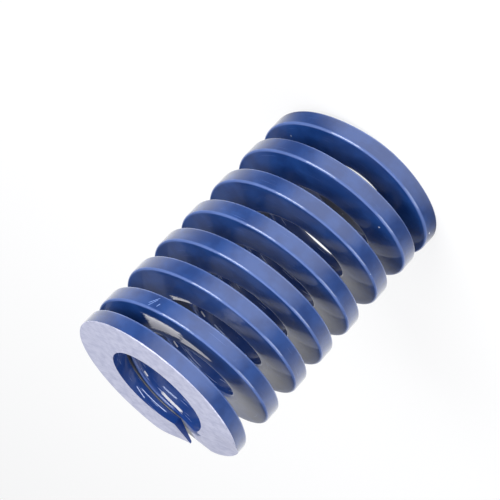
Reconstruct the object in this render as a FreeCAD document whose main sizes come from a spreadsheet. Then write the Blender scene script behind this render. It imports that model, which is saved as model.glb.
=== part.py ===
"""Die spring: one flat wire coiled right-handed, with both ends closed and ground flat.

The spring stands on its bottom end. Millimetres, +Z along the coil axis, origin at the
middle of the bottom end face. Turns are counted along the wire from its bottom tip.
"""
import FreeCAD, Part
import math
import os

from FreeCAD import Vector

# Sizes that can each be set by itself
SIZES = {
    "outer_diameter": 24.8,
    "inner_diameter": 14.0,
    "free_length": 40.0,
    "outer_thickness": 2.25,
    "inner_thickness": 2.8,
    "corner_bevel": 0.35,
    "total_turns": 8.2,
    "tip_thickness": 0.9,
    "taper_turns": 0.3,
    "grinding_depth": 0.1,
    "top_closed_turns": 0.88,
    "top_step_turns": 0.12,
    "top_step_height": 1.85,
    "bottom_closed_turns": 0.58,
    "bottom_step_turns": 0.25,
    "bottom_step_height": 1.75,
    "bend_turns": 0.05,
}

# Sizes that follow from the ones above
DERIVED = {
    "tip_height": "=tip_thickness - outer_thickness / 2",
    "closed_height": "=outer_thickness / 2 - grinding_depth",
    "top_turns": "=top_closed_turns + top_step_turns",
    "bottom_turns": "=bottom_closed_turns + bottom_step_turns",
    "active_turns": "=total_turns - top_turns - bottom_turns",
    "steps_height": "=top_step_height + bottom_step_height",
    "active_height": "=free_length - 2 * closed_height - steps_height",
    "pitch": "=active_height / active_turns",
}

# How finely the coil's curve is laid out, and how it is cut into faces
SPANS_PER_TURN = 36
FACES_PER_TURN = 2

# How far the grinding envelope reaches past the coil
ENVELOPE_MARGIN = 1.0


def fill_sheet(doc):
    """Write every size into the sheet, with its name beside it and as its alias."""
    sheet = doc.addObject("Spreadsheet::Sheet", "sizes")
    for row, (name, value) in enumerate(list(SIZES.items()) + list(DERIVED.items()), start=1):
        sheet.set(f"A{row}", name)
        sheet.set(f"B{row}", str(value))
        sheet.setAlias(f"B{row}", name)
    doc.recompute()
    return sheet


def read_sheet(sheet):
    """Give every size in the sheet as a plain number by its name."""
    return {name: float(sheet.get(name)) for name in (*SIZES, *DERIVED)}


def softened(run, reach):
    """Give 0 before a bend and the run past it, with a parabola over the bend itself."""
    if run <= -reach:
        return 0.0
    if run >= reach:
        return run
    return (run + reach) ** 2 / (4 * reach)


def height_from_end(turns, size, end):
    """Height of the wire's middle above the ground face at its own end, top or bottom.

    The tapered tip rises into the closed turn, which lies flat. The wire then steps up
    over its own tip and goes on at the pitch of the active turns.
    """
    closed_turns = size[f"{end}_closed_turns"]
    step_turns = size[f"{end}_step_turns"]
    bend = size["bend_turns"]
    tip_rise = (size["closed_height"] - size["tip_height"]) / size["taper_turns"]
    step_rise = size[f"{end}_step_height"] / step_turns
    past_tip = softened(turns - size["taper_turns"], bend)
    past_closed = softened(turns - closed_turns, bend)
    past_step = softened(turns - closed_turns - step_turns, bend)
    height = size["tip_height"] + tip_rise * (turns - past_tip)
    return height + step_rise * (past_closed - past_step) + size["pitch"] * past_step


def coil_height(turns, size):
    """Height of the wire's middle above the bottom face, counted from the nearer end."""
    turns_left = size["total_turns"] - turns
    if turns < turns_left:
        return height_from_end(turns, size, "bottom")
    return size["free_length"] - height_from_end(turns_left, size, "top")


def section_sides(size):
    """Outline of the wire's section, a flat bar with bevelled corners, side by side.

    The bar is thicker on its inner side, as coiling leaves it. Each side runs between two
    points, given as (radius from the axis, height from the wire's middle). The corner of
    the real wire is round, and the bevel stands for it.
    """
    inner = size["inner_diameter"] / 2
    outer = size["outer_diameter"] / 2
    inner_half = size["inner_thickness"] / 2
    outer_half = size["outer_thickness"] / 2
    bevel = size["corner_bevel"]
    flare = bevel * (inner_half - outer_half) / (outer - inner)
    corners = [
        (outer, bevel - outer_half),
        (outer, outer_half - bevel),
        (outer - bevel, outer_half + flare),
        (inner + bevel, inner_half - flare),
        (inner, inner_half - bevel),
        (inner, bevel - inner_half),
        (inner + bevel, flare - inner_half),
        (outer - bevel, -outer_half - flare),
    ]
    return list(zip(corners, corners[1:] + corners[:1]))


def coil_curve(size):
    """Curve of the wire's middle at a radius of one, with turns as its parameter."""
    total = size["total_turns"]
    spans = round(total * SPANS_PER_TURN)
    stations = [total * span / spans for span in range(spans + 1)]
    points = [
        Vector(math.cos(math.tau * turns), math.sin(math.tau * turns), coil_height(turns, size))
        for turns in stations
    ]
    curve = Part.BSplineCurve()
    curve.interpolate(
        points,
        Parameters=stations,
        InitialTangent=coil_tangent(0.0, size),
        FinalTangent=coil_tangent(total, size),
        Scale=False,
    )
    return curve


def coil_tangent(turns, size):
    """Direction of the unit coil at one of its ends, per turn."""
    tip_rise = (size["closed_height"] - size["tip_height"]) / size["taper_turns"]
    angle = math.tau * turns
    return Vector(-math.tau * math.sin(angle), math.tau * math.cos(angle), tip_rise)


def section_point(pole, radius, height):
    """Point of the wire's surface that belongs to one pole of the unit coil."""
    return Vector(pole.x * radius, pole.y * radius, pole.z + height)


def coil_edge(stretch, corner):
    """Edge that one corner of the section leaves along one stretch of the coil."""
    curve = Part.BSplineCurve()
    curve.buildFromPolesMultsKnots(
        [section_point(pole, *corner) for pole in stretch.getPoles()],
        stretch.getMultiplicities(),
        stretch.getKnots(),
        False,
        stretch.Degree,
    )
    return curve


def wall_face(stretch, side):
    """Upright face of the coil, a piece of a true cylinder between two coil edges."""
    lower, upper = (coil_edge(stretch, corner) for corner in side)
    wire = Part.Wire([
        lower.toShape(),
        Part.LineSegment(lower.EndPoint, upper.EndPoint).toShape(),
        upper.toShape(),
        Part.LineSegment(upper.StartPoint, lower.StartPoint).toShape(),
    ])
    cylinder = Part.Cylinder()
    cylinder.Radius = side[0][0]
    face = Part.Face(cylinder, wire)
    face.validate()
    return face


def ruled_face(stretch, side):
    """Face of the coil whose section is a straight line that isn't upright."""
    poles = stretch.getPoles()
    surface = Part.BSplineSurface()
    surface.buildFromPolesMultsKnots(
        [[section_point(pole, *corner) for corner in side] for pole in poles],
        stretch.getMultiplicities(),
        [2, 2],
        stretch.getKnots(),
        [0, 1],
        False,
        False,
        stretch.Degree,
        1,
    )
    return surface.toShape()


def side_face(stretch, side):
    """Face that one side of the section leaves along one stretch of the coil."""
    upright = side[0][0] == side[1][0]
    return wall_face(stretch, side) if upright else ruled_face(stretch, side)


def end_face(middle, sides):
    """Flat face across the wire where it is cut off."""
    corners = [section_point(middle, *start) for start, _ in sides]
    return Part.Face(Part.makePolygon(corners + corners[:1]))


def coil_wire(size):
    """Solid of the whole coiled wire, before its ends are ground."""
    curve = coil_curve(size)
    sides = section_sides(size)
    total = size["total_turns"]
    stretches = math.ceil(total * FACES_PER_TURN)
    faces = [end_face(curve.value(0.0), sides), end_face(curve.value(total), sides)]
    for number in range(stretches):
        stretch = curve.copy()
        stretch.segment(total * number / stretches, total * (number + 1) / stretches)
        faces += [side_face(stretch, side) for side in sides]
    shell = Part.makeShell(faces)
    shell.sewShape()
    solid = Part.makeSolid(shell.Shells[0])
    if solid.Volume < 0:
        solid.reverse()
    return solid


def add_coiled_wire(doc, sheet):
    """Add the coiled wire, whose bottom tip ends in the X-Z plane."""
    wire = doc.addObject("Part::Feature", "coiled_wire")
    wire.Shape = coil_wire(read_sheet(sheet))
    wire.Placement = FreeCAD.Placement()
    return wire


def add_grinding_envelope(doc):
    """Add the drum between the two grinding planes, which the ends are ground back to."""
    drum = doc.addObject("Part::Cylinder", "grinding_envelope")
    drum.setExpression("Radius", f"sizes.outer_diameter / 2 + {ENVELOPE_MARGIN}")
    drum.setExpression("Height", "sizes.free_length")
    return drum


def add_die_spring(doc, wire, drum):
    """Add the finished spring, which is the wire with both ends ground flat."""
    spring = doc.addObject("Part::Common", "die_spring")
    spring.Label = "die_spring"
    spring.Base = wire
    spring.Tool = drum
    return spring


def check(doc, parts):
    """Stop if any object failed or if a sub-part is not one sound solid."""
    for item in doc.Objects:
        if "Invalid" in item.State or "Error" in item.State:
            raise RuntimeError(f"{item.Label} failed: {item.State}")
    for part in parts:
        if part.Shape.isNull() or not part.Shape.isValid():
            raise RuntimeError(f"{part.Label} has no sound shape")


def main():
    """Build the spring and write it to its file."""
    doc = FreeCAD.newDocument("die_spring_model")
    sheet = fill_sheet(doc)
    wire = add_coiled_wire(doc, sheet)
    drum = add_grinding_envelope(doc)
    parts = [add_die_spring(doc, wire, drum)]
    doc.recompute()
    check(doc, parts)
    os.makedirs("parts", exist_ok=True)
    for part in parts:
        part.Shape.exportStep(f"parts/{part.Label}.step")
        print(part.Label, "volume", round(part.Shape.Volume, 2), "solids", len(part.Shape.Solids))


main()
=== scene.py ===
"""Dress the die spring: a glossy blue flat-wire coil with bare ground ends, on a pale floor."""
import logging
import math
from dataclasses import dataclass, field
from enum import Enum

import bmesh
import bpy
from mathutils import Matrix, Vector


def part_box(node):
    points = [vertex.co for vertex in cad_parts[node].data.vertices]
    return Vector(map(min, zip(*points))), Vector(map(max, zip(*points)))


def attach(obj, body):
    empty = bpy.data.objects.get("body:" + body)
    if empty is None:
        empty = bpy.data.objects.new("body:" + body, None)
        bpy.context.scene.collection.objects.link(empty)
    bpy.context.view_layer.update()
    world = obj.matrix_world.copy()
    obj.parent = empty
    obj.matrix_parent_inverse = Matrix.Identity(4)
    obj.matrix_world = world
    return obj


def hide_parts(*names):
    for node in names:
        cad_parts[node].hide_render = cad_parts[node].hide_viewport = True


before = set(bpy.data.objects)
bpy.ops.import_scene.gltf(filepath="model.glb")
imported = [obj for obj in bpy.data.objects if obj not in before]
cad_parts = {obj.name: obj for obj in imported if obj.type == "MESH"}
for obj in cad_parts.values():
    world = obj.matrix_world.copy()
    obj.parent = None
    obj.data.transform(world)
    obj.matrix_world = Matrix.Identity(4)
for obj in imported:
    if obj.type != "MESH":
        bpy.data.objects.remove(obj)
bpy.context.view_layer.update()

MM = 0.001

# Length on the wire's map that stands for one millimetre
MAP_SCALE = 0.1

# Points closer than this are one point, in metres
WELD_DISTANCE = 1e-7

# Painted glints inside the coil
PALE_BLUE = (0.42, 0.50, 0.74)
SCRATCH_BLUE = (0.20, 0.30, 0.60)
# Pale specks, with painted glints inside the coil and a painted highlight on a burr
PALE_GREY = (0.62, 0.62, 0.66)
# Painted reflection: pale grey patches on shaded flanks where the surroundings are mirrored
PAINTED_REFLECTION_GREY = (0.80, 0.78, 0.79)
SHADE_BLUE = (0.007, 0.035, 0.18)
SOOT = (0.01, 0.015, 0.04)
BLACK = (0.0, 0.0, 0.0, 1.0)

Point = tuple[float, float]
Triple = tuple[float, float, float]
Socket = bpy.types.NodeSocket
Tree = bpy.types.NodeTree
Source = Socket | str | float | tuple[float, ...]

log = logging.getLogger("die_spring")


class Finish(Enum):
    """Finishes of the wire, in the order of its material slots."""

    PAINT = 0
    GROUND = 1


def softened(run: float, reach: float) -> float:
    """Round off a bend.

    Args:
        run: How far past the bend, negative before it.
        reach: Half the length over which the bend is rounded.

    Returns:
        0 before the bend and the run past it, with a parabola between.
    """
    if run <= -reach:
        return 0.0
    if run >= reach:
        return run
    return (run + reach) ** 2 / (4 * reach)


def eased(part: float) -> float:
    """Ease from 0 to 1.

    Args:
        part: How far along, below 0 before the start and above 1 past the end.

    Returns:
        The eased part, flat at both ends.
    """
    held = min(max(part, 0.0), 1.0)
    return (1 - math.cos(math.pi * held)) / 2


def add_object(name: str, data: bpy.types.ID) -> bpy.types.Object:
    """Add an object to the scene.

    Args:
        name: The object's name.
        data: Its mesh, lamp or camera.

    Returns:
        The object.
    """
    made = bpy.data.objects.new(name, data)
    bpy.context.scene.collection.objects.link(made)
    return made


@dataclass(frozen=True)
class ClosedEnd:
    """How the wire leaves one ground end: it lies flat, then steps up over its own tip."""

    closed_turns: float
    step_turns: float
    step_height: float

    @property
    def turns(self) -> float:
        """Turns from the tip to the end of the step."""
        return self.closed_turns + self.step_turns


@dataclass(frozen=True)
class FaceDroop:
    """How the ground top face falls away and ends beside the cut tip.

    Turns are counted along the wire from its top tip, drops in millimetres.
    """

    tip_turns: float = 0.07
    tip_drop: float = 0.7
    end_start: float = 0.77
    end_turns: float = 0.1
    end_drop: float = 0.95
    bare_inside: float = 0.885
    bare_outside: float = 1.09

    def drop(self, turns: float, outward: float) -> float:
        """Find how far the face lies below the grinding plane.

        Args:
            turns: Turns along the wire from its top tip.
            outward: 0 at the wire's inner side and 1 at its outer side.

        Returns:
            Depth below the plane.
        """
        at_tip = self.tip_drop * (1 - eased(turns / self.tip_turns))
        at_end = self.end_drop * eased((turns - self.end_start) / self.end_turns)
        return (at_tip + at_end) * min(max(outward, 0.0), 1.0)

    def is_bare(self, turns: float, outward: float) -> bool:
        """Tell whether the top of the wire is bare steel.

        Args:
            turns: Turns along the wire from its top tip.
            outward: 0 at the wire's inner side and 1 at its outer side.

        Returns:
            True up to the slanting line where the bare face ends.
        """
        return turns < self.bare_inside + (self.bare_outside - self.bare_inside) * outward


@dataclass(frozen=True)
class UnevenTurn:
    """A place where the coil stands off its even pitch, in turns and millimetres."""

    turns: float
    rise: float


@dataclass(frozen=True)
class DishedTurn:
    """A stretch of the coil whose inner edge stands up a little, in turns and millimetres."""

    start: float = 0.25
    end: float = 2.15
    rise: float = 0.45
    ramp_share: float = 0.25

    def lift(self, turns: float, outward: float) -> float:
        """Find how far a point of the section is lifted.

        Args:
            turns: Turns along the wire from its bottom tip.
            outward: 0 at the wire's inner side and 1 at its outer side.

        Returns:
            Height to add.
        """
        middle = (self.start + self.end) / 2
        nearness = 1 - abs(turns - middle) / (self.end - middle)
        return self.rise * eased(nearness / self.ramp_share) * (1 - outward)


@dataclass(frozen=True)
class CoilPath:
    """How high the middle of the wire lies, turn by turn, in millimetres."""

    free_length: float
    outer_thickness: float = 2.25
    total_turns: float = 8.2
    tip_thickness: float = 0.9
    taper_turns: float = 0.3
    grinding_depth: float = 0.1
    bend_turns: float = 0.05
    top: ClosedEnd = ClosedEnd(closed_turns=0.88, step_turns=0.12, step_height=1.85)
    bottom: ClosedEnd = ClosedEnd(closed_turns=0.58, step_turns=0.25, step_height=1.75)
    uneven: tuple[UnevenTurn, ...] = (
        UnevenTurn(turns=1.0, rise=0.0),
        UnevenTurn(turns=1.6, rise=-0.38),
        UnevenTurn(turns=2.6, rise=0.0),
        UnevenTurn(turns=3.6, rise=0.36),
        UnevenTurn(turns=4.6, rise=0.18),
        UnevenTurn(turns=5.6, rise=-0.1),
        UnevenTurn(turns=6.6, rise=0.0),
        UnevenTurn(turns=6.85, rise=0.0),
        UnevenTurn(turns=7.08, rise=0.2),
        UnevenTurn(turns=7.25, rise=0.0),
    )

    @property
    def tip_height(self) -> float:
        """Height of the wire's middle at its cut tip."""
        return self.tip_thickness - self.outer_thickness / 2

    @property
    def closed_height(self) -> float:
        """Height of the wire's middle along the closed turn."""
        return self.outer_thickness / 2 - self.grinding_depth

    @property
    def pitch(self) -> float:
        """Rise per turn between the two closed ends."""
        steps = self.top.step_height + self.bottom.step_height
        height = self.free_length - 2 * self.closed_height - steps
        return height / (self.total_turns - self.top.turns - self.bottom.turns)

    def from_end(self, turns: float, end: ClosedEnd) -> float:
        """Find the wire's height above the ground face at its own end.

        Args:
            turns: Turns along the wire from its tip at that end.
            end: The end that the wire starts from.

        Returns:
            Height of the wire's middle.
        """
        tip_rise = (self.closed_height - self.tip_height) / self.taper_turns
        step_rise = end.step_height / end.step_turns
        past_tip = softened(turns - self.taper_turns, self.bend_turns)
        past_closed = softened(turns - end.closed_turns, self.bend_turns)
        past_step = softened(turns - end.turns, self.bend_turns)
        height = self.tip_height + tip_rise * (turns - past_tip)
        return height + step_rise * (past_closed - past_step) + self.pitch * past_step

    def height(self, turns: float) -> float:
        """Find the wire's height above the floor.

        Args:
            turns: Turns along the wire from its bottom tip.

        Returns:
            Height of the wire's middle.
        """
        turns_left = self.total_turns - turns
        if turns < turns_left:
            return self.from_end(turns, self.bottom) + self.unevenness(turns)
        return self.free_length - self.from_end(turns_left, self.top) + self.unevenness(turns)

    def unevenness(self, turns: float) -> float:
        """Find how far the coil stands off its even pitch.

        Args:
            turns: Turns along the wire from its bottom tip.

        Returns:
            Height to add, eased from one uneven place to the next.
        """
        for low, high in zip(self.uneven, self.uneven[1:]):
            if low.turns <= turns <= high.turns:
                part = eased((turns - low.turns) / (high.turns - low.turns))
                return low.rise + (high.rise - low.rise) * part
        return 0.0


@dataclass(frozen=True)
class WireSection:
    """Painted section of the wire, a flat bar that is thicker inside, in millimetres."""

    outer_radius: float = 12.4
    inner_radius: float = 7.0
    outer_thickness: float = 2.4
    inner_thickness: float = 2.86
    corner_radius: float = 0.33
    corner_steps: int = 6
    flat_steps: int = 8
    wall_steps: int = 4

    def outline(self) -> list[Point]:
        """List the outline's points once round, from the outer wall's upper corner inwards.

        Returns:
            Points as (radius from the coil's axis, height from the wire's middle).
        """
        corners = [
            (self.outer_radius, self.outer_thickness / 2),
            (self.inner_radius, self.inner_thickness / 2),
            (self.inner_radius, -self.inner_thickness / 2),
            (self.outer_radius, -self.outer_thickness / 2),
        ]
        arcs = [
            self.round_corner(corners[number - 1], corner, corners[(number + 1) % 4])
            for number, corner in enumerate(corners)
        ]
        steps = (self.flat_steps, self.wall_steps, self.flat_steps, self.wall_steps)
        points: list[Point] = []
        for number, arc in enumerate(arcs):
            points += arc
            points += self.between(arc[-1], arcs[(number + 1) % 4][0], steps[number])
        return points

    def round_corner(self, before: Point, corner: Point, after: Point) -> list[Point]:
        """Round one corner between its two sides.

        Args:
            before: The sharp corner before it.
            corner: The sharp corner itself.
            after: The sharp corner after it.

        Returns:
            Points of the arc as (radius, height), from side to side.
        """
        tip = Vector(corner)
        back, forth = (Vector(before) - tip).normalized(), (Vector(after) - tip).normalized()
        half_angle = back.angle(forth) / 2
        middle = tip + (back + forth).normalized() * (self.corner_radius / math.sin(half_angle))
        reach = self.corner_radius / math.tan(half_angle)
        start, end = tip + back * reach - middle, tip + forth * reach - middle
        sweep = math.pi - 2 * half_angle
        points = []
        for step in range(self.corner_steps + 1):
            part = step / self.corner_steps
            turned = start * math.sin((1 - part) * sweep) + end * math.sin(part * sweep)
            points.append(tuple(middle + turned / math.sin(sweep)))
        return points

    @staticmethod
    def between(start: Point, end: Point, steps: int) -> list[Point]:
        """List the points inside a straight side.

        Args:
            start: One end of the side.
            end: Its other end.
            steps: Number of steps from end to end.

        Returns:
            Points between the two ends, without them.
        """
        fractions = [step / steps for step in range(1, steps)]
        return [
            (start[0] + (end[0] - start[0]) * part, start[1] + (end[1] - start[1]) * part)
            for part in fractions
        ]

    def is_upper_flank(self, number: int) -> bool:
        """Tell whether an outline point lies on the section's upper flank.

        Args:
            number: Place of the point in the outline.

        Returns:
            True from the outer wall to the middle of the inner upper corner.
        """
        return number <= self.corner_steps + self.flat_steps + self.corner_steps // 2

    def reach_at(self, outline: list[Point], height: float) -> Point:
        """Find how far the section reaches at one height.

        Args:
            outline: The section's outline.
            height: Height from the wire's middle.

        Returns:
            Smallest and largest radius of the section at that height.
        """
        crossings = []
        for (radius, rise), (next_radius, next_rise) in zip(outline, outline[1:] + outline[:1]):
            if min(rise, next_rise) <= height <= max(rise, next_rise) and rise != next_rise:
                part = (height - rise) / (next_rise - rise)
                crossings.append(radius + (next_radius - radius) * part)
        if not crossings:
            return self.inner_radius, self.outer_radius
        return min(crossings), max(crossings)


@dataclass
class SpringWire:
    """The coiled wire with both ends ground flat.

    The lean is how far the coil moves along X and Y for each millimetre of height.
    """

    path: CoilPath
    section: WireSection
    droop: FaceDroop = FaceDroop()
    dished: DishedTurn = DishedTurn()
    lean: Point = (-0.0029, -0.0337)
    stations_per_turn: int = 180
    sharp_angle: float = 35.0
    outline: list[Point] = field(init=False)

    def __post_init__(self) -> None:
        """Lay out the section once for all stations."""
        self.outline = self.section.outline()

    def outward(self, radius: float) -> float:
        """Find how far out on the wire a radius is.

        Args:
            radius: Distance from the coil's axis.

        Returns:
            0 at the wire's inner side and 1 at its outer side.
        """
        width = self.section.outer_radius - self.section.inner_radius
        return (radius - self.section.inner_radius) / width

    def ring(self, turns: float) -> list[tuple[Vector, bool]]:
        """Place the section at one station, cut back to the two ground faces.

        Args:
            turns: Turns along the wire from its bottom tip.

        Returns:
            Points once round the wire, in metres, each with whether it is bare steel.
        """
        middle = self.path.height(turns)
        left = self.path.total_turns - turns
        angle = math.tau * turns
        points = []
        for number, (radius, offset) in enumerate(self.outline):
            outward = self.outward(radius)
            face = self.path.free_length - self.droop.drop(left, outward)
            offset += self.dished.lift(turns, outward)
            height = min(max(middle + offset, 0.0), face)
            bare = cut = height != middle + offset
            if cut:
                inner, outer = self.section.reach_at(self.outline, height - middle)
                radius = min(max(radius, inner), outer)
            if left < self.path.top.turns:
                on_top = self.section.is_upper_flank(number)
                bare = (cut or on_top) and self.droop.is_bare(left, outward)
            along = height - self.path.free_length / 2
            across = radius * math.cos(angle) + self.lean[0] * along
            back = radius * math.sin(angle) + self.lean[1] * along
            points.append((Vector((across, back, height)) * MM, bare))
        return points

    def build(self) -> bpy.types.Object:
        """Build the wire as one closed mesh.

        Returns:
            The wire's object.
        """
        body = bmesh.new()
        skin = body.loops.layers.uv.new("wire")
        stations = round(self.path.total_turns * self.stations_per_turn)
        rings = []
        for station in range(stations + 1):
            ring = self.ring(self.path.total_turns * station / stations)
            rings.append([(body.verts.new(point), bare) for point, bare in ring])
        travel = self.travel()
        for station in range(stations):
            for number in range(len(self.outline)):
                steps = ((station, number), (station, number + 1))
                steps += ((station + 1, number + 1), (station + 1, number))
                corners = [rings[place][mark % len(self.outline)] for place, mark in steps]
                face = body.faces.new([vert for vert, _ in corners])
                finish = Finish.GROUND if all(bare for _, bare in corners) else Finish.PAINT
                face.material_index = finish.value
                for loop, (place, mark) in zip(face.loops, steps):
                    angle = self.path.total_turns * place / stations * math.tau
                    length = angle * self.section.outer_radius
                    loop[skin].uv = (length * MAP_SCALE, travel[mark] * MAP_SCALE)
        body.faces.new([vert for vert, _ in reversed(rings[0])])
        body.faces.new([vert for vert, _ in rings[-1]])
        bmesh.ops.remove_doubles(body, verts=body.verts, dist=WELD_DISTANCE)
        bmesh.ops.recalc_face_normals(body, faces=body.faces)
        self.smooth_faces(body)
        mesh = bpy.data.meshes.new("spring_wire")
        body.to_mesh(mesh)
        body.free()
        return add_object("spring_wire", mesh)

    def travel(self) -> list[float]:
        """Measure the way round the section.

        Returns:
            Distance from the first outline point to each point, and back to the first.
        """
        lengths = [0.0]
        for start, end in zip(self.outline, self.outline[1:] + self.outline[:1]):
            lengths.append(lengths[-1] + math.dist(start, end))
        return lengths

    def edges(self) -> tuple[float, ...]:
        """Find the middle of each round corner on the way round the section.

        Returns:
            Places of the four corners, in the units of the wire's map.
        """
        travel = self.travel()
        middles = []
        start = 0
        for sides in (self.section.flat_steps, self.section.wall_steps) * 2:
            middles.append(travel[start + self.section.corner_steps // 2] * MAP_SCALE)
            start += self.section.corner_steps + sides
        return tuple(middles)

    def smooth_faces(self, body: bmesh.types.BMesh) -> None:
        """Shade the wire smoothly and keep the ground edges crisp.

        Args:
            body: The wire's mesh.
        """
        for face in body.faces:
            face.smooth = True
        limit = math.radians(self.sharp_angle)
        for edge in body.edges:
            edge.smooth = edge.calc_face_angle(0.0) < limit


class Mix(Enum):
    """What a mix node mixes: Blender's name for it, its two inputs and its output."""

    NUMBERS = ("FLOAT", 2, 3, 0)
    COLORS = ("RGBA", 6, 7, 2)


@dataclass
class Bench:
    """The nodes of one shader tree, and the sums and patterns made of them."""

    tree: Tree

    def node(
        self, kind: str, sources: dict[str | int, Source] | None = None, **settings: str | Tree
    ) -> bpy.types.NodeOutputs:
        """Add a node.

        Args:
            kind: Blender's name for the node.
            sources: What its inputs are fed with, by their names or numbers.
            settings: Properties to set on it.

        Returns:
            Sockets that the node puts out, by name.
        """
        made = self.tree.nodes.new(kind)
        for name, value in settings.items():
            setattr(made, name, value)
        self.feed(made, sources or {})
        return made.outputs

    def feed(self, node: bpy.types.Node, sources: dict[str | int, Source]) -> None:
        """Give the inputs of a node their values.

        Args:
            node: The node.
            sources: Sockets or plain values, by the names or numbers of the inputs.
        """
        for name, source in sources.items():
            if isinstance(source, bpy.types.NodeSocket):
                self.tree.links.new(source, node.inputs[name])
            else:
                node.inputs[name].default_value = source

    def use(self, tree: Tree, label: str = "", **values: Source) -> bpy.types.NodeOutputs:
        """Use one effect with values of its own.

        Args:
            tree: The effect's group.
            label: What it is used for.
            values: Values by socket name.

        Returns:
            Sockets that the effect puts out, by name.
        """
        return self.node("ShaderNodeGroup", node_tree=tree, label=label, sources=values)

    def math(self, operation: str, first: Source, second: Source = 0.0) -> Socket:
        """Work out a value from two others.

        Args:
            operation: Blender's name for the sum.
            first: First socket or number.
            second: Second socket or number.

        Returns:
            Socket with the result.
        """
        sources = {0: first, 1: second}
        return self.node("ShaderNodeMath", sources, operation=operation)["Value"]

    def rest(self, share: Source) -> Socket:
        """Turn a mask round.

        Args:
            share: Socket with the mask.

        Returns:
            Socket with 1 less the mask.
        """
        return self.math("SUBTRACT", 1.0, share)

    def ramp(self, value: Socket, low: Source, high: Source) -> Socket:
        """Turn a value into a soft mask.

        Args:
            value: Socket to read.
            low: Value where the mask is 0.
            high: Value where the mask is 1.

        Returns:
            Socket with the mask.
        """
        sources = {"Value": value, "From Min": low, "From Max": high}
        made = self.node("ShaderNodeMapRange", sources, interpolation_type="SMOOTHSTEP")
        return made["Result"]

    def swing(self, pattern: Socket, reach: Source) -> Socket:
        """Let a pattern that goes from 0 to 1 swing to both sides of 0.

        Args:
            pattern: Socket with the pattern.
            reach: How far it swings from end to end.

        Returns:
            Socket with the swinging pattern.
        """
        return self.math("MULTIPLY", self.math("SUBTRACT", pattern, 0.5), reach)

    def stretched(self, place: Socket, scale: Triple) -> Socket:
        """Stretch the place that a pattern is read at.

        Args:
            place: Socket with the place.
            scale: Factor along each axis.

        Returns:
            Socket with the stretched place.
        """
        sources = {"Scale": scale, "Vector": place}
        return self.node("ShaderNodeMapping", sources, vector_type="POINT")["Vector"]

    def noise(self, place: Socket, scale: float | Triple, detail: float = 3.0) -> Socket:
        """Add a cloudy pattern.

        Args:
            place: Socket with the place to read the pattern at.
            scale: How many clouds fit in one unit, in all directions or along each axis.
            detail: How many finer layers it has.

        Returns:
            Socket with the pattern, from 0 to 1.
        """
        if isinstance(scale, tuple):
            place, scale = self.stretched(place, scale), 1.0
        sources = {"Scale": scale, "Detail": detail, "Vector": place}
        return self.node("ShaderNodeTexNoise", sources)["Fac"]

    def parts(self, vector: Socket) -> bpy.types.NodeOutputs:
        """Take a vector apart.

        Args:
            vector: Socket with the vector.

        Returns:
            Sockets with its parts, by axis.
        """
        return self.node("ShaderNodeSeparateXYZ", {"Vector": vector})

    def joined(self, along: Source, across: Source) -> Socket:
        """Join two values into a vector.

        Args:
            along: Socket with its X part.
            across: Socket with its Y part.

        Returns:
            Socket with the vector.
        """
        return self.node("ShaderNodeCombineXYZ", {"X": along, "Y": across})["Vector"]

    def mix(self, what: Mix, share: Socket, first: Source, second: Source) -> Socket:
        """Mix two numbers or two colours.

        Args:
            what: Which of the two it mixes.
            share: Socket with the share of the second.
            first: First socket or value.
            second: Second socket or value.

        Returns:
            Socket with the mix.
        """
        kind, low, high, result = what.value
        sources = {0: share, low: first, high: second}
        return self.node("ShaderNodeMix", sources, data_type=kind)[result]

    def show(self, output: str, share: Socket, first: Socket, second: Socket) -> None:
        """Put out a mix of two shaders.

        Args:
            output: Name of the tree's output node.
            share: Socket with the share of the second shader.
            first: Socket with the first shader.
            second: Socket with the second shader.
        """
        made = self.node("ShaderNodeMixShader", {0: share, 1: first, 2: second})
        self.feed(self.tree.nodes[output], {"Surface": made["Shader"]})


class Effect(Bench):
    """One shared surface effect, kept as a shader node group with named sockets."""

    def __init__(self, name: str, inputs: dict[str, Source], outputs: tuple[str, ...]) -> None:
        """Make the group and its sockets.

        Args:
            name: The group's name.
            inputs: Values that it takes, by name. Four numbers make a colour.
            outputs: Names of the values that it puts out. Color is a colour.
        """
        super().__init__(bpy.data.node_groups.new(name, "ShaderNodeTree"))
        kinds = {False: "NodeSocketFloat", True: "NodeSocketColor"}
        sockets = self.tree.interface
        for socket, value in inputs.items():
            kind = kinds[isinstance(value, tuple)]
            made = sockets.new_socket(socket, in_out="INPUT", socket_type=kind)
            made.default_value = value
        for socket in outputs:
            kind = kinds[socket == "Color"]
            sockets.new_socket(socket, in_out="OUTPUT", socket_type=kind)
        self.start = self.tree.nodes.new("NodeGroupInput")
        self.finish = self.tree.nodes.new("NodeGroupOutput")

    def feed(self, node: bpy.types.Node, sources: dict[str | int, Source]) -> None:
        """Give the inputs of a node their values.

        Args:
            node: The node.
            sources: Sockets, plain values or names of values that the group takes.
        """
        found = {
            name: self.start.outputs[source] if isinstance(source, str) else source
            for name, source in sources.items()
        }
        super().feed(node, found)

    def give(self, **values: Socket) -> None:
        """Put out values.

        Args:
            values: Sockets by the names that they are put out under.
        """
        self.feed(self.finish, values)

    def skin(self) -> Socket:
        """Find the place on the wire's map.

        Returns:
            Socket with the place, along the wire and across it.
        """
        return self.node("ShaderNodeUVMap", uv_map="wire")["UV"]

    def widths_away(self, skin: Socket) -> Socket:
        """Measure how far a place lies from the group's Middle, across the wire.

        Args:
            skin: Socket with the place on the wire's map.

        Returns:
            Socket with the distance, counted in the group's Width.
        """
        away = self.math("SUBTRACT", self.parts(skin)["Y"], "Middle")
        return self.math("DIVIDE", self.math("ABSOLUTE", away), "Width")

    def standouts(self, pattern: Socket) -> Socket:
        """Pick the few places where a pattern is at its strongest.

        Args:
            pattern: Socket with the pattern.

        Returns:
            Socket with a mask, by the group's Rarity and Softness.
        """
        return self.ramp(pattern, "Rarity", self.math("ADD", "Rarity", "Softness"))


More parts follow.
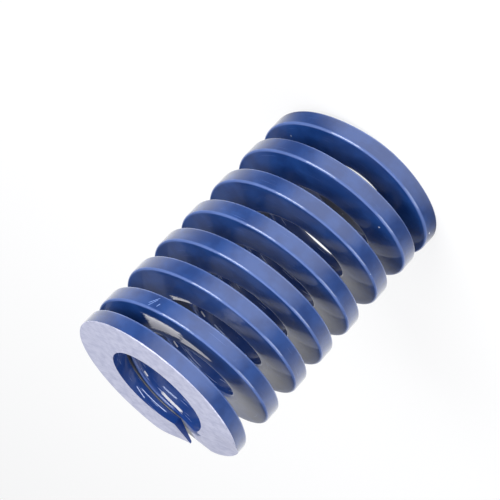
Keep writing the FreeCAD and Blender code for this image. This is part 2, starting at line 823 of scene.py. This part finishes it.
def make_edge_band() -> Tree:
    """Make a pale band along one edge of the wire, a painted highlight on its rounded corner.

    Returns:
        Group with a mask that is 1 on the edge and broken up along it.
    """
    effect = Effect("edge_band", {"Middle": 0.0, "Width": 0.03, "Broken": 0.5}, ("Mask",))
    skin = effect.skin()
    band = effect.ramp(effect.rest(effect.widths_away(skin)), low=0.0, high=0.8)
    breaks = effect.noise(skin, (3.0, 20.0, 1.0), detail=5.0)
    gaps = effect.math("MULTIPLY", "Broken", breaks)
    effect.give(Mask=effect.math("MULTIPLY", band, effect.rest(gaps)))
    return effect.tree


def make_drawing_lines() -> Tree:
    """Make the fine lines that drawing and coiling leave along the wire.

    Returns:
        Group with the height of the lines and a mask of the few that stand out.
    """
    effect = Effect(
        "drawing_lines",
        {"Along": 1.2, "Across": 60.0, "Rarity": 0.66, "Softness": 0.08},
        ("Height", "Lines"),
    )
    parts = effect.parts(effect.skin())
    along = effect.math("MULTIPLY", parts["X"], "Along")
    across = effect.math("MULTIPLY", parts["Y"], "Across")
    height = effect.noise(effect.joined(along, across), 1.0, detail=4.0)
    effect.give(Height=height, Lines=effect.standouts(height))
    return effect.tree


def make_paint_clouds() -> Tree:
    """Make the paint's uneven tone, its pale specks and its orange peel.

    Returns:
        Group with the tone, a mask of the specks and the height of the peel.
    """
    effect = Effect(
        "paint_clouds", {"Deep": BLACK, "Light": BLACK}, ("Color", "Specks", "Height")
    )
    place = effect.node("ShaderNodeTexCoord")["Object"]
    clouds = effect.ramp(effect.noise(place, 320.0, detail=6.0), low=0.36, high=0.66)
    tone = effect.mix(Mix.COLORS, clouds, "Deep", "Light")
    dots = effect.node("ShaderNodeTexVoronoi", {"Scale": 420.0, "Vector": place}, feature="F1")
    picks = effect.node("ShaderNodeSeparateColor", {"Color": dots["Color"]})
    rare = effect.ramp(picks["Red"], low=0.955, high=0.965)
    close = effect.rest(effect.ramp(dots["Distance"], low=0.03, high=0.07))
    specks = effect.math("MULTIPLY", rare, close)
    peel = effect.noise(place, 1100.0, detail=2.0)
    effect.give(Color=tone, Specks=specks, Height=peel)
    return effect.tree


def make_inner_shade() -> Tree:
    """Make the painted shade inside the coil and the painted glints along it.

    Returns:
        Group with a mask of the painted shade inside the coil, how far its gloss is dulled,
        and a mask of the painted glints.
    """
    effect = Effect(
        "inner_shade",
        {"Middle": 0.0, "Width": 0.4, "Rarity": 0.64, "Softness": 0.03, "Dulling": 0.5},
        ("Inside", "Dulled", "Runs"),
    )
    skin = effect.skin()
    # Painted shade: the paint is darkened over the coil's inside
    inside = effect.rest(effect.ramp(effect.widths_away(skin), low=0.35, high=1.0))
    dulled = effect.math("MULTIPLY", inside, "Dulling")
    # Painted glints: pale streaks along the inside that stand for mirrored light
    streaks = effect.noise(skin, (1.0, 52.0, 1.0), detail=2.0)
    painted_glints = effect.math("MULTIPLY", inside, effect.standouts(streaks))
    effect.give(Inside=inside, Dulled=dulled, Runs=painted_glints)
    return effect.tree


def make_scratch() -> Tree:
    """Make one mark on the wire's skin, which may taper and have ragged edges.

    Returns:
        Group with the mark's mask.
    """
    effect = Effect(
        "scratch",
        {
            "Along": 0.0,
            "Across": 0.0,
            "Length": 1.0,
            "Width": 0.1,
            "Turn": 0.0,
            "Broken": 0.0,
            "Taper": 0.0,
            "Ragged": 0.0,
            "Thinnest": 0.0005,
        },
        ("Mask",),
    )
    sources = {0: effect.skin(), 1: effect.joined("Along", "Across")}
    away = effect.node("ShaderNodeVectorMath", sources, operation="SUBTRACT")
    sources = {"Vector": away["Vector"], "Angle": "Turn"}
    place = effect.node("ShaderNodeVectorRotate", sources, rotation_type="Z_AXIS")["Vector"]
    parts = effect.parts(place)
    half_length = effect.math("DIVIDE", "Length", 2.0)
    half_width = effect.math("DIVIDE", "Width", 2.0)
    forth = effect.math("DIVIDE", parts["X"], half_length)
    wider = effect.math("MULTIPLY", forth, "Taper")
    half_width = effect.math("MULTIPLY", half_width, effect.math("ADD", wider, 1.0))
    half_width = effect.math("MAXIMUM", half_width, "Thinnest")
    sideways = effect.math("DIVIDE", parts["Y"], half_width)
    tears = effect.swing(effect.noise(place, (9.0, 70.0, 1.0)), 2.0)
    tears = effect.math("MULTIPLY", tears, "Ragged")
    dashes = effect.ramp(effect.noise(place, (60.0, 60.0, 1.0)), low=0.46, high=0.54)
    mask = effect.rest(effect.math("MULTIPLY", dashes, "Broken"))
    for way in (forth, sideways):
        out = effect.math("ADD", effect.math("ABSOLUTE", way), tears)
        side = effect.rest(effect.ramp(out, low=0.75, high=1.0))
        mask = effect.math("MULTIPLY", mask, side)
    effect.give(Mask=mask)
    return effect.tree


def make_grinding_marks() -> Tree:
    """Make the bare face's grinding marks, its stains and its dark pits.

    Returns:
        Group with the tone, the roughness and the height of the marks.
    """
    effect = Effect(
        "grinding_marks",
        {
            "Bright": BLACK,
            "Stain": BLACK,
            "Pit": BLACK,
            "Roughness": 0.4,
            "Grain": 0.45,
            "Pitted": 0.5,
            "Unevenness": 0.3,
        },
        ("Color", "Roughness", "Height"),
    )
    place = effect.node("ShaderNodeTexCoord")["Object"]
    fine = effect.noise(place, (420.0, 5200.0, 1.0), detail=4.0)
    blotches = effect.noise(place, 900.0, detail=6.0)
    grain = effect.math("MULTIPLY", fine, "Grain")
    stained = effect.ramp(effect.math("ADD", grain, blotches), low=0.55, high=0.95)
    tone = effect.mix(Mix.COLORS, stained, "Bright", "Stain")
    pits = effect.ramp(effect.noise(place, 2600.0, detail=2.0), low=0.64, high=0.74)
    pitted = effect.math("MULTIPLY", pits, "Pitted")
    tone = effect.mix(Mix.COLORS, pitted, tone, "Pit")
    uneven = effect.swing(fine, "Unevenness")
    rough = effect.math("ADD", "Roughness", uneven)
    effect.give(Color=tone, Roughness=rough, Height=fine)
    return effect.tree


@dataclass
class SurfaceLibrary:
    """The shared surface effects, each made once."""

    edge_band: Tree = field(default_factory=make_edge_band)
    drawing_lines: Tree = field(default_factory=make_drawing_lines)
    paint_clouds: Tree = field(default_factory=make_paint_clouds)
    inner_shade: Tree = field(default_factory=make_inner_shade)
    scratch: Tree = field(default_factory=make_scratch)
    grinding_marks: Tree = field(default_factory=make_grinding_marks)


@dataclass(frozen=True)
class Relief:
    """How deep a relief is, in millimetres, and how strongly it shows."""

    depth: float
    strength: float


class Surface(Bench):
    """One material and the effects that feed it."""

    def __init__(self, name: str) -> None:
        """Make the material.

        Args:
            name: The material's name.
        """
        self.material = bpy.data.materials.new(name)
        self.material.use_nodes = True
        super().__init__(self.material.node_tree)
        self.shader = self.tree.nodes["Principled BSDF"]

    def tint(self, share: Socket, strength: float, below: Socket, tone: Triple) -> Socket:
        """Lay a colour over another where a mask says.

        Args:
            share: Socket with the mask.
            strength: How much of the colour a full mask gives.
            below: Socket with the colour below.
            tone: Colour to lay over it.

        Returns:
            Socket with the tinted colour.
        """
        scaled = self.math("MULTIPLY", share, strength)
        return self.mix(Mix.COLORS, scaled, below, (*tone, 1.0))

    def emboss(self, height: Socket, relief: Relief, below: Socket | None = None) -> Socket:
        """Turn a height into relief.

        Args:
            height: Socket with the height.
            relief: How deep and how strong it is.
            below: Socket with relief that it lies on.

        Returns:
            Socket with the relief's normal.
        """
        sources = {"Strength": relief.strength, "Distance": relief.depth * MM, "Height": height}
        if below is not None:
            sources["Normal"] = below
        return self.node("ShaderNodeBump", sources)["Normal"]


@dataclass(frozen=True)
class Spot:
    """A mark that the photograph shows on the wire's skin, in millimetres and degrees.

    Along counts from the wire's bottom tip. Across goes round the section from the outer
    wall's upper corner.
    """

    name: str
    along: float
    across: float
    length: float
    width: float
    tone: Triple
    turn: float = 0.0
    broken: float = 0.0
    taper: float = 0.0
    ragged: float = 0.0

    def mask(self, surface: Surface, scratch: Tree) -> Socket:
        """Lay the mark on a surface.

        Args:
            surface: The material that it lies on.
            scratch: The shared effect for marks.

        Returns:
            Socket with the mark's mask.
        """
        return surface.use(
            scratch,
            self.name,
            Along=self.along * MAP_SCALE,
            Across=self.across * MAP_SCALE,
            Length=self.length * MAP_SCALE,
            Width=self.width * MAP_SCALE,
            Turn=math.radians(-self.turn),
            Broken=self.broken,
            Taper=self.taper,
            Ragged=self.ragged,
        )["Mask"]


# Marks that the photograph shows. The first covers the cut ends, which lie at 0 on the map.
MARKS = (
    Spot("cut ends of the wire", 0.0, 0.0, 0.6, 0.6, SHADE_BLUE),
    # Painted shade, dark and without gloss, where the wire steps down under its tip
    Spot("painted shade on the ramp", 563.5, 4.2, 12.0, 3.6, SHADE_BLUE),
    Spot("speck on the ramp", 566.2, 3.4, 0.5, 0.5, PALE_GREY),
    Spot("dashed scratch", 577.05, 14.22, 1.4, 0.13, SOOT, turn=61.6, broken=1.0),
    Spot("pit at the edge", 577.95, 0.15, 0.35, 0.35, SOOT),
    # Pale grey patches on flanks and corners: painted reflections of the surroundings, without
    # gloss
    Spot("painted reflection, wide part", 520.4, 3.2, 7.4, 2.5, PAINTED_REFLECTION_GREY, taper=0.25, ragged=0.3),
    Spot("painted reflection, narrow part", 513.9, 3.8, 7.0, 1.2, PAINTED_REFLECTION_GREY, taper=0.6, ragged=0.3),
    Spot("painted reflection on the corner below", 522.6, 5.5, 2.6, 0.5, PAINTED_REFLECTION_GREY, ragged=0.5),
    Spot("painted reflection on an inner corner", 446.4, 5.4, 5.8, 1.3, PAINTED_REFLECTION_GREY, taper=0.3, ragged=0.5),
    Spot("scratch", 522.08, 14.82, 1.5, 0.1, SCRATCH_BLUE, turn=62.3, broken=0.4),
    Spot("second scratch", 522.16, 14.52, 1.6, 0.1, SCRATCH_BLUE, turn=52.2, broken=0.4),
    Spot("short scratch", 521.23, 14.87, 0.6, 0.1, SCRATCH_BLUE, turn=72.3),
    # Pale streaks inside the coil from here on: painted glints of mirrored light
    Spot("painted glint inside the first turn", 631.5, 7.59, 8.5, 0.13, PALE_BLUE, turn=1.3),
    Spot("short painted glint beside it", 628.0, 7.08, 3.5, 0.13, PALE_BLUE, turn=-3.3),
    Spot("wide painted glint", 557.0, 6.06, 7.6, 0.36, PALE_GREY, turn=-1.5, ragged=0.3),
    Spot("narrow painted glint above it", 555.04, 6.82, 4.7, 0.22, PALE_BLUE, turn=1.3, broken=0.6),
    Spot("bright painted glint", 548.1, 6.06, 1.6, 0.2, PALE_GREY),
    Spot("painted glint one turn on", 470.5, 6.0, 1.9, 0.2, PALE_GREY),
    Spot("painted glint two turns on", 392.44, 6.16, 1.8, 0.22, PALE_GREY),
    Spot("paired painted glint", 398.4, 6.5, 5.2, 0.16, PALE_BLUE, ragged=0.3),
    Spot("speck on the flank", 116.71, 1.69, 0.3, 0.3, PALE_GREY),
    # A touch mark at the far turn, painted pale as its highlight
    Spot("painted highlight on the far turn's burr", 31.4, 15.1, 0.5, 0.2, PALE_GREY),
)


@dataclass(frozen=True)
class BluePaint:
    """Glossy blue paint, a little uneven, with painted highlights along the wire's edges and
    painted shade and glints inside the coil.

    Widths are in millimetres, and a share says how much of its tone a full mask gives.
    """

    edges: tuple[float, ...]
    deep: Triple = (0.007, 0.034, 0.150)
    light: Triple = (0.013, 0.052, 0.205)
    pale_line_and_highlight: Triple = (0.13, 0.20, 0.46)
    speck: Triple = (0.50, 0.56, 0.68)
    marks: tuple[Spot, ...] = MARKS
    roughness: float = 0.3
    specular: float = 0.3
    coat_roughness: float = 0.05
    edge_width: float = 0.3
    inner_width: float = 2.6
    line_share: float = 0.4
    edge_share: float = 0.75
    inner_share: float = 0.7
    glint_share: float = 0.5
    speck_share: float = 0.8
    peel: Relief = Relief(depth=0.02, strength=0.25)
    line_relief: Relief = Relief(depth=0.012, strength=0.5)

    def build(self, library: SurfaceLibrary) -> bpy.types.Material:
        """Make the material.

        Args:
            library: The shared surface effects.

        Returns:
            The paint.
        """
        surface = Surface("blue_paint")
        clouds = surface.use(
            library.paint_clouds, Deep=(*self.deep, 1.0), Light=(*self.light, 1.0)
        )
        lines = surface.use(library.drawing_lines)
        layers = [(lines["Lines"], self.line_share, self.pale_line_and_highlight)]
        # Pale bands along each edge: a painted highlight
        for edge in self.edges:
            band = surface.use(library.edge_band, Middle=edge, Width=self.edge_width * MAP_SCALE)
            layers.append((band["Mask"], self.edge_share, self.pale_line_and_highlight))
        inner_middle = (self.edges[1] + self.edges[2]) / 2
        inner = surface.use(
            library.inner_shade, Middle=inner_middle, Width=self.inner_width * MAP_SCALE
        )
        # Painted shade over the coil's inside, and painted glints along it
        layers.append((inner["Inside"], self.inner_share, SHADE_BLUE))
        layers.append((inner["Runs"], self.glint_share, PALE_BLUE))
        layers.append((clouds["Specks"], self.speck_share, self.speck))
        gloss = surface.rest(inner["Dulled"])
        for mark in self.marks:
            mask = mark.mask(surface, library.scratch)
            layers.append((mask, 1.0, mark.tone))
            gloss = surface.math("MULTIPLY", gloss, surface.rest(mask))
        color = clouds["Color"]
        for share, strength, tone in layers:
            color = surface.tint(share, strength, color, tone)
        relief = surface.emboss(clouds["Height"], self.peel)
        relief = surface.emboss(lines["Height"], self.line_relief, relief)
        sources = {
            "Base Color": color,
            "Roughness": self.roughness,
            "Specular IOR Level": self.specular,
            "Coat Weight": gloss,
            "Coat Roughness": self.coat_roughness,
            "Normal": relief,
            "Coat Normal": relief,
        }
        surface.feed(surface.shader, sources)
        return surface.material


@dataclass(frozen=True)
class GroundSteel:
    """Bare steel left by the grinding wheel, with fine marks across the face."""

    bright: Triple = (0.50, 0.51, 0.64)
    stain: Triple = (0.39, 0.405, 0.54)
    pit: Triple = (0.17, 0.19, 0.32)
    roughness: float = 0.5
    metallic: float = 0.4
    relief: Relief = Relief(depth=0.01, strength=0.35)

    def build(self, library: SurfaceLibrary) -> bpy.types.Material:
        """Make the material.

        Args:
            library: The shared surface effects.

        Returns:
            The ground steel.
        """
        surface = Surface("ground_steel")
        marks = surface.use(
            library.grinding_marks,
            Bright=(*self.bright, 1.0),
            Stain=(*self.stain, 1.0),
            Pit=(*self.pit, 1.0),
            Roughness=self.roughness,
        )
        sources = {
            "Base Color": marks["Color"],
            "Roughness": marks["Roughness"],
            "Metallic": self.metallic,
            "Normal": surface.emboss(marks["Height"], self.relief),
        }
        surface.feed(surface.shader, sources)
        return surface.material


@dataclass(frozen=True)
class SoftLamp:
    """A soft square lamp that looks at the spring, in millimetres and watts."""

    name: str
    place: Triple
    size: float
    power: float
    aim: Triple = (0.0, 0.0, 20.0)

    def hang(self) -> None:
        """Hang the lamp."""
        data = bpy.data.lights.new(self.name, "AREA")
        data.size = self.size * MM
        data.energy = self.power
        lamp = add_object(self.name, data)
        lamp.location = Vector(self.place) * MM
        way = Vector(self.aim) * MM - lamp.location
        lamp.rotation_euler = way.to_track_quat("-Z", "Y").to_euler()


@dataclass(frozen=True)
class Camera:
    """Where the photograph was taken from, in degrees and millimetres."""

    azimuth: float = -145.94
    elevation: float = 19.99
    roll: float = -138.4
    distance: float = 290.1
    lens: float = 165.4
    nearest: float = 10.0
    target: Triple = (2.0, -2.96, 17.83)

    def place(self) -> None:
        """Look at the spring as the photograph does."""
        bearing, rise = math.radians(self.azimuth), math.radians(self.elevation)
        back = Vector((
            math.cos(bearing) * math.cos(rise), math.sin(bearing) * math.cos(rise), math.sin(rise)
        ))
        data = bpy.data.cameras.new("camera")
        data.lens = self.lens
        data.clip_start = self.nearest * MM
        camera = add_object("camera", data)
        turn = back.to_track_quat("Z", "Y").to_matrix().to_4x4()
        turn = turn @ Matrix.Rotation(math.radians(self.roll), 4, "Z")
        stand = (Vector(self.target) + back * self.distance) * MM
        camera.matrix_world = Matrix.Translation(stand) @ turn
        bpy.context.scene.camera = camera


@dataclass(frozen=True)
class Studio:
    """Pale floor, white surroundings and soft lamps."""

    lamps: tuple[SoftLamp, ...] = (
        SoftLamp("key_lamp", (-90.0, -250.0, 210.0), 200.0, 1.3),
        SoftLamp("top_lamp", (20.0, 40.0, 330.0), 300.0, 0.5),
        SoftLamp("side_lamp", (-230.0, 150.0, 90.0), 160.0, 0.35),
    )
    surround: float = 0.42
    surround_color: Triple = (0.9, 0.93, 1.0)
    # Painted light: the floor glows in reflections, brightest towards this bearing
    glow_bearing: float = -146.0
    brightest_glow: float = 2.0
    behind_glow: float = 0.8
    side_glow: float = 0.2
    patchiness: float = 0.35
    horizon_glow: float = 0.5
    sky_glow: float = 0.02
    upper_glow: float = 0.24
    floor_reach: float = 2000.0
    floor_color: Triple = (0.85, 0.85, 0.86)
    floor_roughness: float = 0.9
    floor_glow: float = 0.8

    def build(self) -> None:
        """Set up everything round the spring."""
        self.lay_floor()
        self.light_world()
        for lamp in self.lamps:
            lamp.hang()
        bpy.context.scene.view_settings.view_transform = "Standard"

    def lay_floor(self) -> None:
        """Lay the pale floor that the spring stands on."""
        mesh = bpy.data.meshes.new("floor")
        shape = bmesh.new()
        reach = self.floor_reach * MM
        bmesh.ops.create_grid(shape, x_segments=1, y_segments=1, size=reach)
        shape.to_mesh(mesh)
        shape.free()
        floor = add_object("floor", mesh)
        floor.data.materials.append(self.floor_material())

    def make_floor_gloss(self) -> Tree:
        """Make the floor's glow as glossy paint mirrors it, a painted light that is no lamp.

        The floor glows brightest towards one bearing, less on the side away from it, and
        dim between the two.

        Returns:
            Group with the glow, by bearing from the middle of the floor.
        """
        effect = Effect(
            "floor_gloss",
            {
                "East": 1.0,
                "North": 0.0,
                "Window": self.brightest_glow,
                "Behind": self.behind_glow,
                "Side": self.side_glow,
                "Patchiness": self.patchiness,
            },
            ("Glow",),
        )
        place = effect.node("ShaderNodeNewGeometry")["Position"]
        sources = {0: effect.stretched(place, (1.0, 1.0, 0.0))}
        bearing = effect.node("ShaderNodeVectorMath", sources, operation="NORMALIZE")
        sources = {0: bearing["Vector"], 1: effect.joined("East", "North")}
        facing = effect.node("ShaderNodeVectorMath", sources, operation="DOT_PRODUCT")
        patches = effect.swing(effect.noise(place, 55.0, detail=2.0), "Patchiness")
        towards = effect.math("ADD", facing["Value"], patches)
        lit = effect.ramp(towards, low=0.5, high=1.0)
        behind = effect.rest(effect.ramp(towards, low=-0.45, high=0.45))
        glow: Source = "Side"
        for share, strength in ((lit, "Window"), (behind, "Behind")):
            glow = effect.math("ADD", glow, effect.math("MULTIPLY", share, strength))
        effect.give(Glow=glow)
        return effect.tree

    def floor_material(self) -> bpy.types.Material:
        """Make the floor's finish, white to the camera but with the spring's shadow, and with a
        painted glow that glossy paint mirrors.

        Returns:
            The floor's material.
        """
        surface = Surface("pale_floor")
        paint = {"Base Color": (*self.floor_color, 1.0), "Roughness": self.floor_roughness}
        surface.feed(surface.shader, paint)
        bearing = math.radians(self.glow_bearing)
        gloss = surface.use(
            self.make_floor_gloss(), East=math.cos(bearing), North=math.sin(bearing)
        )
        rays = surface.node("ShaderNodeLightPath")
        # For glossy rays the floor glows by bearing, a painted light for the paint to mirror
        strength = surface.mix(Mix.NUMBERS, rays["Is Glossy Ray"], 1.0, gloss["Glow"])
        glow = surface.node("ShaderNodeEmission", {"Strength": strength})["Emission"]
        share = surface.math("MULTIPLY", rays["Is Camera Ray"], self.floor_glow)
        seen = surface.math("MAXIMUM", share, rays["Is Glossy Ray"])
        surface.show("Material Output", seen, surface.shader.outputs["BSDF"], glow)
        return surface.material

    def make_sky_gloss(self) -> Tree:
        """Make the tone of the surroundings as glossy paint mirrors them.

        They are bright at the horizon, dark above it, dim higher up and white overhead.

        Returns:
            Group with the glow, by height above the horizon.
        """
        effect = Effect(
            "sky_gloss",
            {"Horizon": self.horizon_glow, "Dim": self.sky_glow, "Upper": self.upper_glow},
            ("Glow",),
        )
        rise = effect.parts(effect.node("ShaderNodeTexCoord")["Generated"])["Z"]
        bands = (
            (effect.rest(effect.ramp(rise, low=0.1, high=0.29)), "Horizon"),
            (effect.ramp(rise, low=0.38, high=0.55), "Upper"),
        )
        glow: Source = "Dim"
        for share, strength in bands:
            glow = effect.math("ADD", glow, effect.math("MULTIPLY", share, strength))
        overhead = effect.ramp(rise, low=0.6, high=0.85)
        effect.give(Glow=effect.math("MAXIMUM", glow, overhead))
        return effect.tree

    def light_world(self) -> None:
        """Surround the spring with white for the camera and a soft grey for the light."""
        world = bpy.data.worlds.new("studio")
        bpy.context.scene.world = world
        world.use_nodes = True
        bench = Bench(world.node_tree)
        soft = bench.tree.nodes["Background"]
        light = {"Color": (*self.surround_color, 1.0), "Strength": self.surround}
        bench.feed(soft, light)
        rays = bench.node("ShaderNodeLightPath")
        gloss = bench.use(self.make_sky_gloss())
        strength = bench.mix(Mix.NUMBERS, rays["Is Glossy Ray"], 1.0, gloss["Glow"])
        shown = {"Color": (1.0, 1.0, 1.0, 1.0), "Strength": strength}
        white = bench.node("ShaderNodeBackground", shown)["Background"]
        seen = rays["Is Camera Ray"]
        for ray in ("Is Glossy Ray", "Is Transmission Ray"):
            seen = bench.math("MAXIMUM", seen, rays[ray])
        bench.show("World Output", seen, soft.outputs["Background"], white)


def main() -> None:
    """Build the spring and its studio."""
    logging.basicConfig(level=logging.INFO)
    low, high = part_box("die_spring")
    spring = SpringWire(CoilPath(free_length=(high.z - low.z) / MM), WireSection())
    wire = spring.build()
    library = SurfaceLibrary()
    for finish in (BluePaint(edges=spring.edges()), GroundSteel()):
        wire.data.materials.append(finish.build(library))
    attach(wire, "root")
    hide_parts("die_spring")
    log.info("spring wire: %d faces", len(wire.data.polygons))
    Camera().place()
    Studio().build()


if __name__ == "__main__":
    main()
